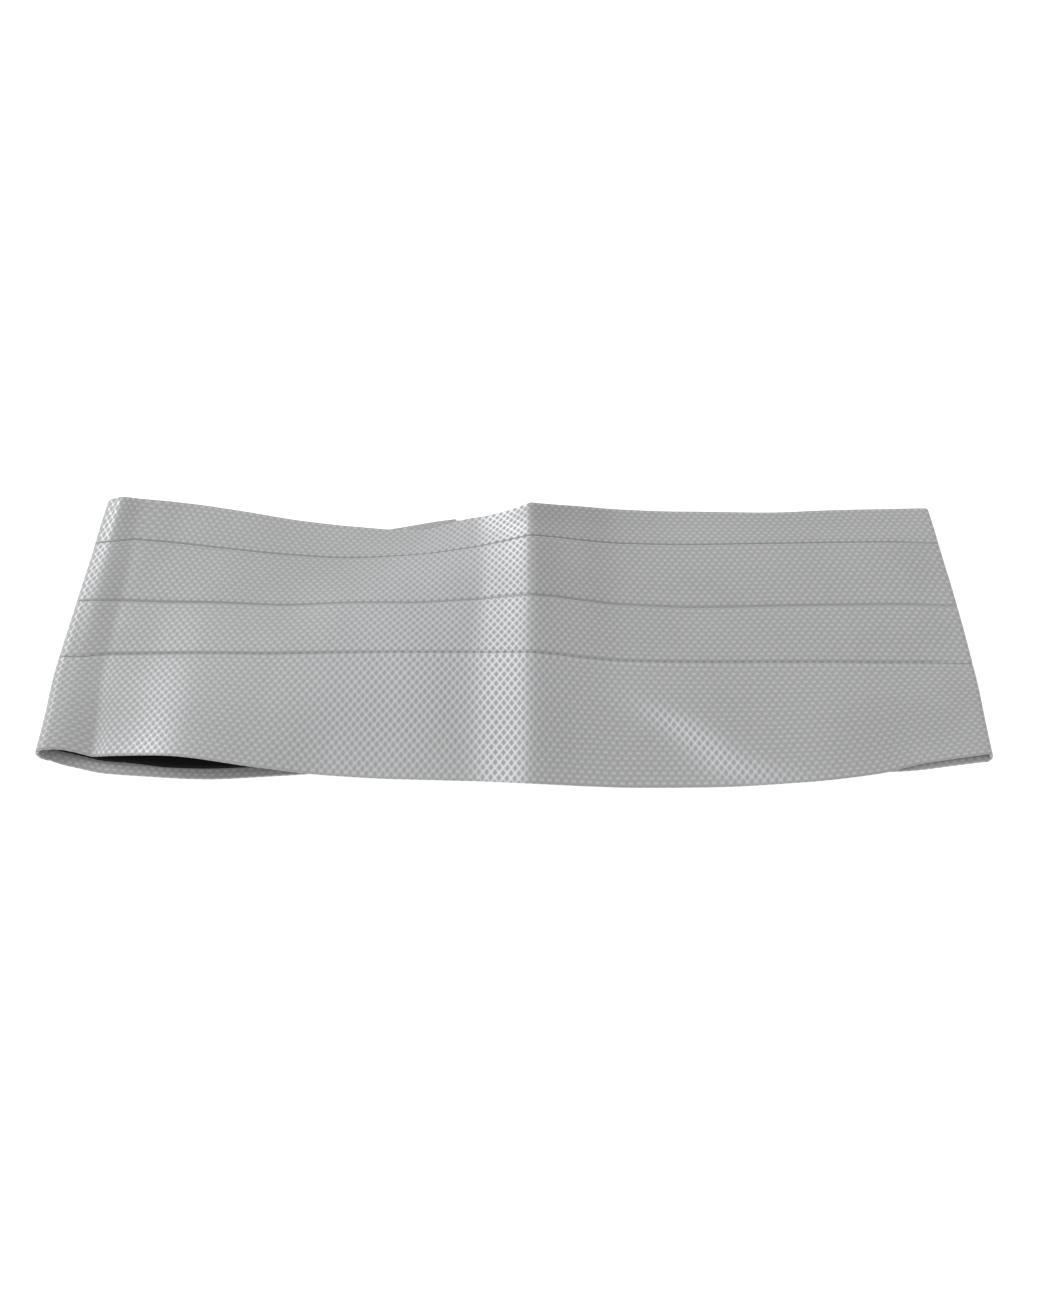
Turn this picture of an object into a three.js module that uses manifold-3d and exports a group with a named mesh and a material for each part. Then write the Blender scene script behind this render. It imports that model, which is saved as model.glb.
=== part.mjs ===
// Pleated cummerbund, closed at the back and lying flat on a surface.
// +X runs along the folded width, +Y from the lower hem to the upper hem, +Z up.
// The origin is at the middle of the underside.

import * as THREE from 'three';
import { mergeVertices } from 'three/addons/utils/BufferGeometryUtils.js';
import Module from 'manifold-3d';

// Driving dimensions, in millimetres.
const foldedWidth = 410; // left fold to right fold
const foldedDepth = 140; // lower hem to upper hem, as it lies
const clothWall = 1.0;
const pleatWall = 1.0;
const liningWall = 1.0;
const clearance = 0.3; // between pieces, and inside each pleat
const pocketDepth = 10; // how far each pleat's pocket reaches under its fold
const hemWidth = 7; // cloth turned in along the edges
const layerAir = 1.0; // air between the front layer and the back layer
const creaseRise = 20; // highest lift of the front layer, at the storage crease
const wingOverlap = 25; // how far the two ends overlap at the back
const leftWingShare = 0.425; // where the left end stops, as a share of the width
const climbLength = 24; // length over which the right end climbs onto the left one
const climbMargin = 1.2; // flat stretch between that climb and the left end
const claspThickness = 1.0;
const claspWidth = 10;
const claspLength = 36;

// Steps of the faceted cloth.
const frontStep = 0.03; // longest step over the front, as a share of the width
const foldSteps = 7; // steps round each fold
const pleatSteps = 4; // steps of each fold that the pleats still cover
const climbSteps = 5; // steps of the right wing's climb

const lines = ['near', 'pleat3', 'pleat2', 'pleat1', 'far'];

// Where each line of the front layer lies, as shares of the folded depth.
// The column at is a share of the width, from the left fold.
const frontPlan = [
  { at: 0.0, near: 0.105, pleat3: 0.4, pleat2: 0.595, pleat1: 0.815, far: 0.975 },
  { at: 0.025, near: 0.11, pleat3: 0.4, pleat2: 0.595, pleat1: 0.815, far: 0.995 },
  { at: 0.055, near: 0.095, pleat3: 0.41, pleat2: 0.6, pleat1: 0.83, far: 1.0 },
  { at: 0.1, near: 0.085, pleat3: 0.41, pleat2: 0.595, pleat1: 0.82, far: 0.99 },
  { at: 0.16, near: 0.075, pleat3: 0.405, pleat2: 0.59, pleat1: 0.8, far: 0.965 },
  { at: 0.24, near: 0.05, pleat3: 0.4, pleat2: 0.58, pleat1: 0.775, far: 0.93 },
  { at: 0.31, near: 0.035, pleat3: 0.4, pleat2: 0.58, pleat1: 0.76, far: 0.9 },
  { at: 0.38, near: 0.02, pleat3: 0.395, pleat2: 0.575, pleat1: 0.77, far: 0.885 },
  { at: 0.45, near: 0.015, pleat3: 0.4, pleat2: 0.585, pleat1: 0.785, far: 0.91 },
  { at: 0.515, near: 0.01, pleat3: 0.405, pleat2: 0.595, pleat1: 0.8, far: 0.92, crease: true },
  { at: 0.57, near: 0.005, pleat3: 0.395, pleat2: 0.595, pleat1: 0.815, far: 0.95 },
  { at: 0.62, near: 0.0, pleat3: 0.39, pleat2: 0.59, pleat1: 0.825, far: 0.97 },
  { at: 0.7, near: 0.0, pleat3: 0.39, pleat2: 0.585, pleat1: 0.825, far: 0.965 },
  { at: 0.8, near: 0.015, pleat3: 0.39, pleat2: 0.59, pleat1: 0.83, far: 0.965 },
  { at: 0.92, near: 0.065, pleat3: 0.39, pleat2: 0.595, pleat1: 0.835, far: 0.975 },
  { at: 1.0, near: 0.095, pleat3: 0.39, pleat2: 0.595, pleat1: 0.835, far: 0.97 },
];

// How far the front layer is lifted off the back layer at each line, as shares of creaseRise.
const frontLift = [
  { at: 0.0, near: 0.2, pleat3: 0.225, pleat2: 0.275, pleat1: 0.325, far: 0.325 },
  { at: 0.025, near: 0.2, pleat3: 0.225, pleat2: 0.275, pleat1: 0.325, far: 0.35 },
  { at: 0.055, near: 0.0, pleat3: 0.05, pleat2: 0.075, pleat1: 0.125, far: 0.175, crease: true },
  { at: 0.1, near: 0.225, pleat3: 0.15, pleat2: 0.125, pleat1: 0.125, far: 0.15 },
  { at: 0.16, near: 0.425, pleat3: 0.25, pleat2: 0.15, pleat1: 0.1, far: 0.1 },
  { at: 0.24, near: 0.3, pleat3: 0.3, pleat2: 0.175, pleat1: 0.1, far: 0.075 },
  { at: 0.31, near: 0.1, pleat3: 0.35, pleat2: 0.3, pleat1: 0.175, far: 0.15 },
  { at: 0.38, near: 0.125, pleat3: 0.45, pleat2: 0.4, pleat1: 0.25, far: 0.2 },
  { at: 0.45, near: 0.1, pleat3: 0.4, pleat2: 0.425, pleat1: 0.4, far: 0.375 },
  { at: 0.515, near: 0.025, pleat3: 0.325, pleat2: 0.525, pleat1: 0.75, far: 1.0, crease: true },
  { at: 0.57, near: 0.0, pleat3: 0.175, pleat2: 0.25, pleat1: 0.35, far: 0.45 },
  { at: 0.62, near: 0.0, pleat3: 0.05, pleat2: 0.05, pleat1: 0.075, far: 0.125 },
  { at: 0.7, near: 0.0, pleat3: 0.0, pleat2: 0.0, pleat1: 0.0, far: 0.0 },
  { at: 1.0, near: 0.0, pleat3: 0.0, pleat2: 0.0, pleat1: 0.0, far: 0.0 },
];

// Where the edges of the back layer lie, as shares of the folded depth.
const backPlan = [
  { at: 0.0, near: 0.105, far: 0.975 },
  { at: 0.035, near: 0.075, far: 0.975 },
  { at: 0.07, near: 0.05, far: 0.97 },
  { at: 0.16, near: 0.035, far: 0.95 },
  { at: 0.24, near: 0.04, far: 0.94 },
  { at: 0.31, near: 0.055, far: 0.935 },
  { at: 0.43, near: 0.085, far: 0.945 },
  { at: 0.6, near: 0.06, far: 0.95 },
  { at: 0.8, near: 0.05, far: 0.955 },
  { at: 0.92, near: 0.075, far: 0.965 },
  { at: 1.0, near: 0.095, far: 0.97 },
];

// Heights that follow from the walls.
const liningSpace = clearance + liningWall;
const backInnerHeight = clothWall;
const backTopHeight = clothWall + liningSpace;
const frontInnerHeight = backTopHeight + layerAir + liningSpace;
const claspSpace = claspThickness + 2 * clearance;
const wingRise = backTopHeight + claspSpace;
const pleatRise = clearance + pleatWall;
const pleatTop = clothWall + pleatRise;
const rootDepth = clothWall / 2; // how deep a pleat's root is sewn into the wall

// Places across the width, from the middle.
const innerHalfWidth = foldedWidth / 2 - pleatTop;
const leftWingEnd = (leftWingShare - 0.5) * foldedWidth;
const rightWingEnd = leftWingEnd - wingOverlap;
const climbStart = leftWingEnd + climbLength;
const climbEnd = leftWingEnd + climbMargin;

// One column of a table at a share of the width: smooth between rows, bent at a crease row.
function column(rows, name, at) {
  const last = rows.length - 1;
  const secant = (row) => (rows[row + 1][name] - rows[row][name]) / (rows[row + 1].at - rows[row].at);
  const slope = (row, beside) => {
    if (row === 0 || row === last || rows[row].crease) {
      return beside;
    }
    const before = secant(row - 1);
    const after = secant(row);
    return before * after > 0 ? (2 * before * after) / (before + after) : 0;
  };
  let low = 0;
  while (low < last - 1 && rows[low + 1].at < at) {
    low += 1;
  }
  const span = rows[low + 1].at - rows[low].at;
  const t = THREE.MathUtils.clamp((at - rows[low].at) / span, 0, 1);
  const square = t * t;
  const cube = square * t;
  const startPart = rows[low][name] * (2 * cube - 3 * square + 1);
  const endPart = rows[low + 1][name] * (3 * square - 2 * cube);
  const startSlopePart = slope(low, secant(low)) * span * (cube - 2 * square + t);
  const endSlopePart = slope(low + 1, secant(low)) * span * (cube - square);
  return startPart + startSlopePart + endPart + endSlopePart;
}

// Depth of a line of the front layer, from the lowest point of the lower hem.
function frontDepth(line, at) {
  return column(frontPlan, line, at) * foldedDepth;
}

// Height of the front layer's inner face at a share of the width and a depth.
function frontHeight(at, depth) {
  const rows = lines.map((line) => ({
    at: frontDepth(line, at),
    height: frontInnerHeight + column(frontLift, line, at) * creaseRise,
  }));
  return column(rows, 'height', depth);
}

// Radius of a fold's inner face at a depth. side is -1 at the left fold and 1 at the right one.
function foldRadius(side, depth) {
  return (frontHeight(side < 0 ? 0 : 1, depth) - backInnerHeight) / 2;
}

// Height of the back layer's inner face: the right wing climbs onto the left one.
function backHeight(side, x) {
  const climbed = side > 0 ? THREE.MathUtils.smoothstep(climbStart - x, 0, climbStart - climbEnd) : 0;
  return backInnerHeight + climbed * wingRise;
}

// A station is one section of the band: the depth of each line, and a point of the inner face.
function frontStation(at) {
  return {
    pleated: true,
    depthOf: (line) => frontDepth(line, at),
    point: (depth) => {
      const left = foldRadius(-1, depth) - innerHalfWidth;
      const right = innerHalfWidth - foldRadius(1, depth);
      return new THREE.Vector3(THREE.MathUtils.lerp(left, right, at), depth, frontHeight(at, depth));
    },
  };
}

// Step 0 is the top of the fold and the last step is its underside.
function foldStation(side, step) {
  const angle = (step / foldSteps) * Math.PI;
  return {
    pleated: step <= pleatSteps,
    depthOf: (line) => frontDepth(line, side < 0 ? 0 : 1),
    point: (depth) => {
      const radius = foldRadius(side, depth);
      const reach = innerHalfWidth - radius + radius * Math.sin(angle);
      return new THREE.Vector3(side * reach, depth, backInnerHeight + radius * (1 + Math.cos(angle)));
    },
  };
}

// The wings are plain, so only their edges move.
function wingStation(side, x) {
  const at = x / foldedWidth + 0.5;
  return {
    pleated: false,
    depthOf: (line) => {
      const isEdge = line === 'near' || line === 'far';
      return isEdge ? column(backPlan, line, at) * foldedDepth : frontDepth(line, side < 0 ? 0 : 1);
    },
    point: (depth) => new THREE.Vector3(x, depth, backHeight(side, x)),
  };
}

// Even steps from one place up to another, without the first one.
function stepsTo(start, end, count) {
  return Array.from({ length: count }, (unused, step) => THREE.MathUtils.lerp(start, end, (step + 1) / count));
}

// Stations from a fold along the rows of the back layer's table to the wing's end.
function wingStations(side, trim) {
  const foldPlace = innerHalfWidth - foldRadius(side, foldedDepth);
  const plainEnd = side < 0 ? leftWingEnd - trim : climbStart;
  const rowPlaces = backPlan.map((row) => (row.at - 0.5) * foldedWidth);
  const places = rowPlaces.filter((x) => side * x < foldPlace && side * (x - plainEnd) > 0);
  places.sort((a, b) => side * (b - a));
  places.push(plainEnd);
  if (side > 0) {
    places.push(...stepsTo(climbStart, climbEnd, climbSteps), rightWingEnd + trim);
  }
  return places.map((x) => wingStation(side, x));
}

function foldStations(side) {
  return stepsTo(0, foldSteps, foldSteps).map((step) => foldStation(side, step));
}

function frontStations() {
  const places = [0];
  for (let row = 1; row < frontPlan.length; row += 1) {
    const start = frontPlan[row - 1].at;
    const end = frontPlan[row].at;
    places.push(...stepsTo(start, end, Math.ceil((end - start) / frontStep)));
  }
  return places.map((at) => frontStation(at));
}

// Stations in order from the left wing's end, over the front, to the right wing's end,
// both ends cut short by trim.
function loopStations(trim) {
  return [
    ...wingStations(-1, trim).reverse(),
    ...foldStations(-1).reverse(),
    ...frontStations(),
    ...foldStations(1),
    ...wingStations(1, trim),
  ];
}

// A node is a place across the band: a share of one band between two lines, and an offset.
function nodeDepth(station, node) {
  const low = station.depthOf(lines[node.band]);
  const high = station.depthOf(lines[node.band + 1]);
  return THREE.MathUtils.lerp(low, high, node.share) + node.offset;
}

// Outward direction of the cloth at a node, from its neighbours along and across the band.
function outward(stations, index, node) {
  const before = stations[Math.max(index - 1, 0)];
  const after = stations[Math.min(index + 1, stations.length - 1)];
  const along = after.point(nodeDepth(after, node)).sub(before.point(nodeDepth(before, node)));
  const depth = nodeDepth(stations[index], node);
  const reach = depth < foldedDepth / 2 ? 1 : -1;
  const across = stations[index].point(depth + reach).sub(stations[index].point(depth));
  return along.cross(across.multiplyScalar(reach)).normalize();
}

// A closed strip of cloth: an outline of nodes, each with a rise off the inner face, swept
// along the stations and closed at both ends. Both faces of a wall are split along the same
// diagonals, so that nested strips stay parallel.
function strip(stations, outline) {
  const rings = stations.map((station, index) =>
    outline.map((node) => {
      const foot = station.point(nodeDepth(station, node));
      return foot.addScaledVector(outward(stations, index, node), node.rise);
    }),
  );
  const count = outline.length;
  const depths = outline.map((node) => nodeDepth(stations[0], node));
  const runsOut = depths.map((depth, node) => depths[(node + 1) % count] >= depth);
  const triangles = [];
  for (let ring = 0; ring < rings.length - 1; ring += 1) {
    for (let node = 0; node < count; node += 1) {
      const a = ring * count + node;
      const b = ring * count + ((node + 1) % count);
      if (runsOut[node]) {
        triangles.push(a, b + count, b, a, a + count, b + count);
      } else {
        triangles.push(a, a + count, b, b, a + count, b + count);
      }
    }
  }
  const capOf = (station) => {
    const contour = outline.map((node) => new THREE.Vector2(nodeDepth(station, node), node.rise));
    return THREE.ShapeUtils.triangulateShape(contour, []);
  };
  const top = (rings.length - 1) * count;
  for (const [a, b, c] of capOf(stations[0])) {
    triangles.push(a, c, b);
  }
  for (const [a, b, c] of capOf(stations[stations.length - 1])) {
    triangles.push(top + a, top + b, top + c);
  }
  const geometry = new THREE.BufferGeometry();
  const positions = rings.flat().flatMap((point) => point.toArray());
  geometry.setAttribute('position', new THREE.Float32BufferAttribute(positions, 3));
  geometry.setIndex(triangles);
  return geometry;
}

const wasm = await Module();
wasm.setup();

function solidOf(geometry) {
  const merged = mergeVertices(geometry);
  const vertProperties = new Float32Array(merged.getAttribute('position').array);
  const triVerts = new Uint32Array(merged.getIndex().array);
  return new wasm.Manifold(new wasm.Mesh({ numProp: 3, vertProperties, triVerts }));
}

function geometryOf(solid) {
  const mesh = solid.getMesh();
  const geometry = new THREE.BufferGeometry();
  geometry.setAttribute('position', new THREE.Float32BufferAttribute(mesh.vertProperties, 3));
  geometry.setIndex(Array.from(mesh.triVerts));
  geometry.computeVertexNormals();
  return geometry;
}

// Nodes across the band from one edge to the other, with inset cut off at both edges.
function acrossNodes(inset) {
  const nodes = [{ band: 0, share: 0, offset: inset }];
  if (inset === 0) {
    nodes.push({ band: 0, share: 0, offset: hemWidth });
  }
  nodes.push({ band: 0, share: 0.35, offset: 0 });
  nodes.push({ band: 0, share: 0.6, offset: 0 });
  for (const band of [0, 1, 2]) {
    nodes.push({ band, share: 1, offset: -pocketDepth });
    nodes.push({ band: band + 1, share: 0, offset: 0 });
    nodes.push({ band: band + 1, share: 0.35, offset: 0 });
  }
  if (inset === 0) {
    nodes.push({ band: 3, share: 1, offset: -hemWidth });
  }
  nodes.push({ band: 3, share: 1, offset: -inset });
  return nodes;
}

// Outline of a wall between two rises off the cloth's inner face.
function wallOutline(inset, low, high) {
  const outer = acrossNodes(inset).map((node) => ({ ...node, rise: high }));
  const inner = acrossNodes(inset).map((node) => ({ ...node, rise: low }));
  return [...outer, ...inner.reverse()];
}

// Outline of one pleat: sewn into the wall, rising to its fold, with an open pocket beneath.
function pleatOutline(band) {
  const startOffset = band === 0 ? hemWidth : clearance;
  const middleRise = (rootDepth + pleatTop) / 2;
  return [
    { band, share: 0, offset: startOffset, rise: rootDepth },
    { band, share: 0.35, offset: 0, rise: middleRise },
    { band, share: 1, offset: -pocketDepth, rise: pleatTop },
    { band, share: 1, offset: 0, rise: pleatTop },
    { band, share: 1, offset: 0, rise: clothWall + clearance },
    { band, share: 1, offset: -pocketDepth, rise: clothWall + clearance },
    { band, share: 1, offset: -pocketDepth, rise: rootDepth },
    { band, share: 0.35, offset: 0, rise: rootDepth },
  ];
}

// The silver cloth: one wall with its pleats, hollowed for the lining between its turned hems.
function pleatedBand() {
  const loop = loopStations(0);
  const pleated = loop.filter((station) => station.pleated);
  let band = solidOf(strip(loop, wallOutline(0, -liningSpace, clothWall)));
  for (const pleat of [0, 1, 2]) {
    band = band.add(solidOf(strip(pleated, pleatOutline(pleat))));
  }
  const hollow = strip(loopStations(hemWidth), wallOutline(hemWidth, -liningSpace - clearance, 0));
  return geometryOf(band.subtract(solidOf(hollow)));
}

// The dark lining, a wall between the turned hems.
function lining() {
  const inset = hemWidth + clearance;
  return strip(loopStations(inset), wallOutline(inset, -liningSpace, -clearance));
}

// A flat hook plate between the two overlapping ends.
function clasp() {
  const plate = new THREE.BoxGeometry(claspWidth, claspLength, claspThickness);
  const height = backTopHeight + clearance + claspThickness / 2;
  return plate.translate((leftWingEnd + rightWingEnd) / 2, foldedDepth / 2, height);
}

const silverCloth = new THREE.MeshStandardMaterial({ color: 0xa9abb0, roughness: 0.55, metalness: 0.0 });
const darkLining = new THREE.MeshStandardMaterial({ color: 0x131315, roughness: 0.7, metalness: 0.0 });
const plainMetal = new THREE.MeshStandardMaterial({ color: 0xb4b4b2, roughness: 0.35, metalness: 1.0 });

function piece(name, geometry, material) {
  const mesh = new THREE.Mesh(geometry, material);
  mesh.name = name;
  return mesh;
}

const cummerbund = new THREE.Group();
cummerbund.add(piece('pleated_band', pleatedBand(), silverCloth));
cummerbund.add(piece('lining', lining(), darkLining));
cummerbund.add(piece('clasp', clasp(), plainMetal));

// Centre the band over the origin.
const bounds = new THREE.Box3().setFromObject(cummerbund);
cummerbund.position.y = -(bounds.min.y + bounds.max.y) / 2;
cummerbund.position.x = -(bounds.min.x + bounds.max.x) / 2;

export default cummerbund;
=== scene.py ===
"""Pleated cummerbund of woven silver cloth, closed at the back and lying flat on a pale floor.

The frame is the part's own: +X along the folded width, +Y from the lower hem to the upper hem,
+Z up, and the origin at the middle of the underside. Shapes are worked out in millimetres and
go into the meshes in metres.
"""

import logging
import math
from dataclasses import dataclass, field
from enum import Enum

import bpy
import numpy as np
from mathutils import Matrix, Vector


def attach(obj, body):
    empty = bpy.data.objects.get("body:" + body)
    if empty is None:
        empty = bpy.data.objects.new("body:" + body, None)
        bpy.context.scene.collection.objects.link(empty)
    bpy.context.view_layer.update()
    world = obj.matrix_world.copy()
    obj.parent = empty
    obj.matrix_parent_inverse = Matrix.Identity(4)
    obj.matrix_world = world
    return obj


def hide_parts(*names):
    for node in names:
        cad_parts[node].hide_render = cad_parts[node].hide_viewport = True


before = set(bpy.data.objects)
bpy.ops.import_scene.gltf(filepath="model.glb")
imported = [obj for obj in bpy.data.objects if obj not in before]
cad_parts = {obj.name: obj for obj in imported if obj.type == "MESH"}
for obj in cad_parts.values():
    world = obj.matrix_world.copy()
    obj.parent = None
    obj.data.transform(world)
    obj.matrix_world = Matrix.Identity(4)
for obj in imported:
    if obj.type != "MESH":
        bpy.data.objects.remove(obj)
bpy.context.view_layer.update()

logging.basicConfig(level=logging.INFO, format="%(message)s")
log = logging.getLogger("cummerbund")

Array = np.ndarray
Pair = tuple[float, float]
Colour = tuple[float, float, float, float]
Spacing = tuple[tuple[float, ...], tuple[float, ...]]
Socket = bpy.types.NodeSocket
MM = 0.001

# Where each line of the front layer lies, as shares of the folded depth: the place across the
# width, then the lower hem, the three pleats and the upper hem.
FRONT_PLAN = np.array([
    (0.0, 0.1, 0.4, 0.595, 0.815, 1.0),
    (0.011, 0.103, 0.4, 0.595, 0.815, 0.999),
    (0.0413, 0.088, 0.41, 0.6, 0.83, 1.0),
    (0.087, 0.084, 0.41, 0.595, 0.82, 0.99),
    (0.149, 0.07, 0.405, 0.59, 0.798, 0.964),
    (0.231, 0.042, 0.4, 0.581, 0.775, 0.923),
    (0.302, 0.027, 0.4, 0.583, 0.764, 0.896),
    (0.374, 0.016, 0.4, 0.577, 0.768, 0.878),
    (0.446, 0.013, 0.406, 0.589, 0.786, 0.912),
    (0.476, 0.008, 0.402, 0.591, 0.794, 0.912),
    (0.5121, -0.002, 0.395, 0.588, 0.799, 0.917),
    (0.543, -0.002, 0.398, 0.595, 0.811, 0.934),
    (0.568, -0.003, 0.395, 0.593, 0.814, 0.9487),
    (0.62, -0.006, 0.391, 0.591, 0.824, 0.967),
    (0.7015, -0.004, 0.39, 0.585, 0.825, 0.969),
    (0.804, 0.011, 0.39, 0.59, 0.83, 0.965),
    (0.88, 0.0385, 0.39, 0.593, 0.833, 0.974),
    (0.927, 0.07, 0.39, 0.595, 0.835, 0.978),
    (1.0, 0.099, 0.39, 0.595, 0.835, 0.981),
])

# How far the front layer is lifted off the back layer at each line, as shares of the crease's rise.
FRONT_LIFT = np.array([
    (0.0, 0.2, 0.225, 0.26, 0.27, 0.24),
    (0.011, 0.185, 0.22, 0.275, 0.31, 0.33),
    (0.0413, 0.025, 0.13, 0.15, 0.195, 0.245),
    (0.087, 0.19, 0.15, 0.135, 0.135, 0.15),
    (0.149, 0.425, 0.25, 0.16, 0.13, 0.12),
    (0.231, 0.3, 0.3, 0.16, 0.1, 0.09),
    (0.302, 0.1, 0.35, 0.25, 0.12, 0.11),
    (0.374, 0.1, 0.38, 0.34, 0.21, 0.17),
    (0.446, 0.05, 0.3, 0.34, 0.37, 0.37),
    (0.476, 0.1, 0.37, 0.44, 0.52, 0.6),
    (0.5121, 0.22, 0.5, 0.62, 0.79, 1.0),
    (0.543, 0.12, 0.31, 0.4, 0.53, 0.71),
    (0.568, 0.06, 0.2, 0.27, 0.37, 0.485),
    (0.62, 0.02, 0.05, 0.05, 0.075, 0.125),
    (0.7015, 0.0, 0.0, 0.0, 0.0, 0.0),
    (0.82, 0.0, 0.0, 0.0, 0.0, 0.0),
    (0.93, -0.08, -0.02, 0.0, 0.0, 0.0),
    (1.0, -0.05, -0.01, 0.0, 0.0, 0.0),
])

# Where the two edges of the back layer lie, as shares of the folded depth.
BACK_PLAN = np.array([
    (0.0, 0.095, 0.985),
    (0.014, 0.086, 0.985),
    (0.024, 0.075, 0.98),
    (0.046, 0.061, 0.975),
    (0.07, 0.047, 0.97),
    (0.11, 0.038, 0.96),
    (0.18, 0.028, 0.945),
    (0.24, 0.036, 0.925),
    (0.31, 0.05, 0.9),
    (0.35, 0.065, 0.914),
    (0.38, 0.072, 0.932),
    (0.43, 0.085, 0.954),
    (0.6, 0.06, 0.945),
    (0.8, 0.045, 0.95),
    (0.9, 0.0515, 0.958),
    (0.92, 0.0555, 0.96),
    (0.96, 0.07, 0.965),
    (0.985, 0.079, 0.975),
    (1.0, 0.085, 0.981),
])

# How far the two side folds reach past their mean, in millimetres: share of the folded depth,
# then the left fold and the right one.
FOLD_REACH = np.array([
    (0.0, 0.0, -0.35),
    (0.1, 0.2, 0.25),
    (0.2, 0.35, 0.7),
    (0.35, 1.35, 1.5),
    (0.5, 0.6, 1.4),
    (0.65, -0.2, 0.95),
    (0.8, -1.0, 0.05),
    (0.9, -1.1, -0.4),
    (1.0, -1.5, -1.1),
])

# The two places across the width where the front layer is sharply creased.
CREASES = (0.0413, 0.5121)

# Low swells of the front layer: place across the width and share of the folded depth, length and
# width in millimetres, the turn of the length in degrees, and height in millimetres.
SWELLS = np.array([
    (0.7, 0.21, 40.0, 14.0, -29.0, 0.8),
    (0.77, 0.06, 40.0, 12.0, -12.0, 0.7),
    (0.33, 0.27, 60.0, 30.0, 20.0, 0.6),
    (0.2, 0.5, 70.0, 32.0, -10.0, 0.3),
    (0.85, 0.6, 60.0, 30.0, 35.0, 0.25),
])

# Patches of painted highlight on the weave, where its gloss is also raised, without a slope: the same
# columns, with a strength in place of the height.
PAINTED_HIGHLIGHTS = np.array([
    (0.655, 0.205, 24.0, 9.0, -29.0, 0.42),
    (0.7, 0.125, 24.0, 12.0, -32.0, 0.5),
    (0.755, 0.035, 42.0, 10.0, -8.0, 0.42),
    (0.38, 0.2, 110.0, 66.0, 20.0, 0.42),
    (0.41, 0.7, 80.0, 80.0, 0.0, 0.28),
    (0.483, 0.12, 14.0, 76.0, 0.0, 0.75),
])


def smooth(value: Array) -> Array:
    """Smoothstep: three times the square less twice the cube, of the value held from 0 to 1."""
    held = np.clip(value, 0.0, 1.0)
    return held * held * (3.0 - 2.0 * held)


def bell(value: Array) -> Array:
    """A soft round hump: e to the minus half of the square."""
    return np.exp(-0.5 * value * value)


def patches(table: Array, x: Array, y: Array) -> Array:
    """Sum of soft patches: each is a bell over its length times one over its width.

    Args:
        table: rows of x and y of the middle, length, width, turn in degrees, and size.
        x: places along the width.
        y: places along the depth.

    Returns:
        The sum at every point.
    """
    total = np.zeros(np.broadcast_shapes(x.shape, y.shape))
    for middle_x, middle_y, length, width, turn, size in table:
        cosine, sine = math.cos(math.radians(turn)), math.sin(math.radians(turn))
        along = (x - middle_x) * cosine + (y - middle_y) * sine
        across = (y - middle_y) * cosine - (x - middle_x) * sine
        total += size * bell(2.0 * along / length) * bell(2.0 * across / width)
    return total


def hermite(knots: Array, values: Array, places: Array, bends: Array) -> Array:
    """Smooth curve through values at knots.

    In each span it is the cubic with the values and slopes of its two ends. The slope at an
    inner knot is twice the product of the two spans' slopes over their sum, or zero where they
    run opposite ways. At the ends and at a bend it is the span's own slope.

    Args:
        knots: rising places, shape (..., k).
        values: the value at each knot, shape (..., k).
        places: where the curve is wanted, shape (..., m).
        bends: true at each knot where the curve is bent, shape (k,).

    Returns:
        The curve at the places, shape (..., m).
    """
    span = np.diff(knots, axis=-1)
    secant = np.diff(values, axis=-1) / span
    product = secant[..., :-1] * secant[..., 1:]
    total = secant[..., :-1] + secant[..., 1:]
    inner = np.where(product > 0, 2.0 * product / np.where(total == 0, 1.0, total), 0.0)
    start = np.concatenate([secant[..., :1], inner], axis=-1)
    end = np.concatenate([inner, secant[..., -1:]], axis=-1)
    start = np.where(bends[:-1], secant, start)
    end = np.where(bends[1:], secant, end)
    index = np.sum(places[..., None] > knots[..., None, 1:-1], axis=-1)
    width = np.take_along_axis(span, index, axis=-1)
    low = np.take_along_axis(knots[..., :-1], index, axis=-1)
    t = np.clip((places - low) / width, 0.0, 1.0)
    square, cube = t * t, t * t * t
    first = np.take_along_axis(values[..., :-1], index, axis=-1) * (2 * cube - 3 * square + 1)
    first = first + np.take_along_axis(start, index, axis=-1) * width * (cube - 2 * square + t)
    second = np.take_along_axis(values[..., 1:], index, axis=-1) * (3 * square - 2 * cube)
    return first + second + np.take_along_axis(end, index, axis=-1) * width * (cube - square)


def table_at(table: Array, places: Array, creases: tuple[float, ...] = ()) -> Array:
    """Every column of a table of shares at places across the width.

    Args:
        table: rows of a place and its values.
        places: shape (n,).
        creases: the places whose rows are bends.

    Returns:
        Shape (n, columns).
    """
    values = table[:, 1:].T
    knots = np.broadcast_to(table[:, 0], values.shape)
    spots = np.broadcast_to(places, (len(values), len(places)))
    return hermite(knots, values, spots, np.isin(table[:, 0], creases)).T


class Side(Enum):
    """The two side folds."""

    LEFT = -1
    RIGHT = 1


class Stretch(Enum):
    """The stretches of the loop, in order from the left end to the right one."""

    LEFT_WING = "left wing"
    LEFT_FOLD = "left fold"
    FRONT = "front"
    RIGHT_FOLD = "right fold"
    RIGHT_WING = "right wing"


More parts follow.
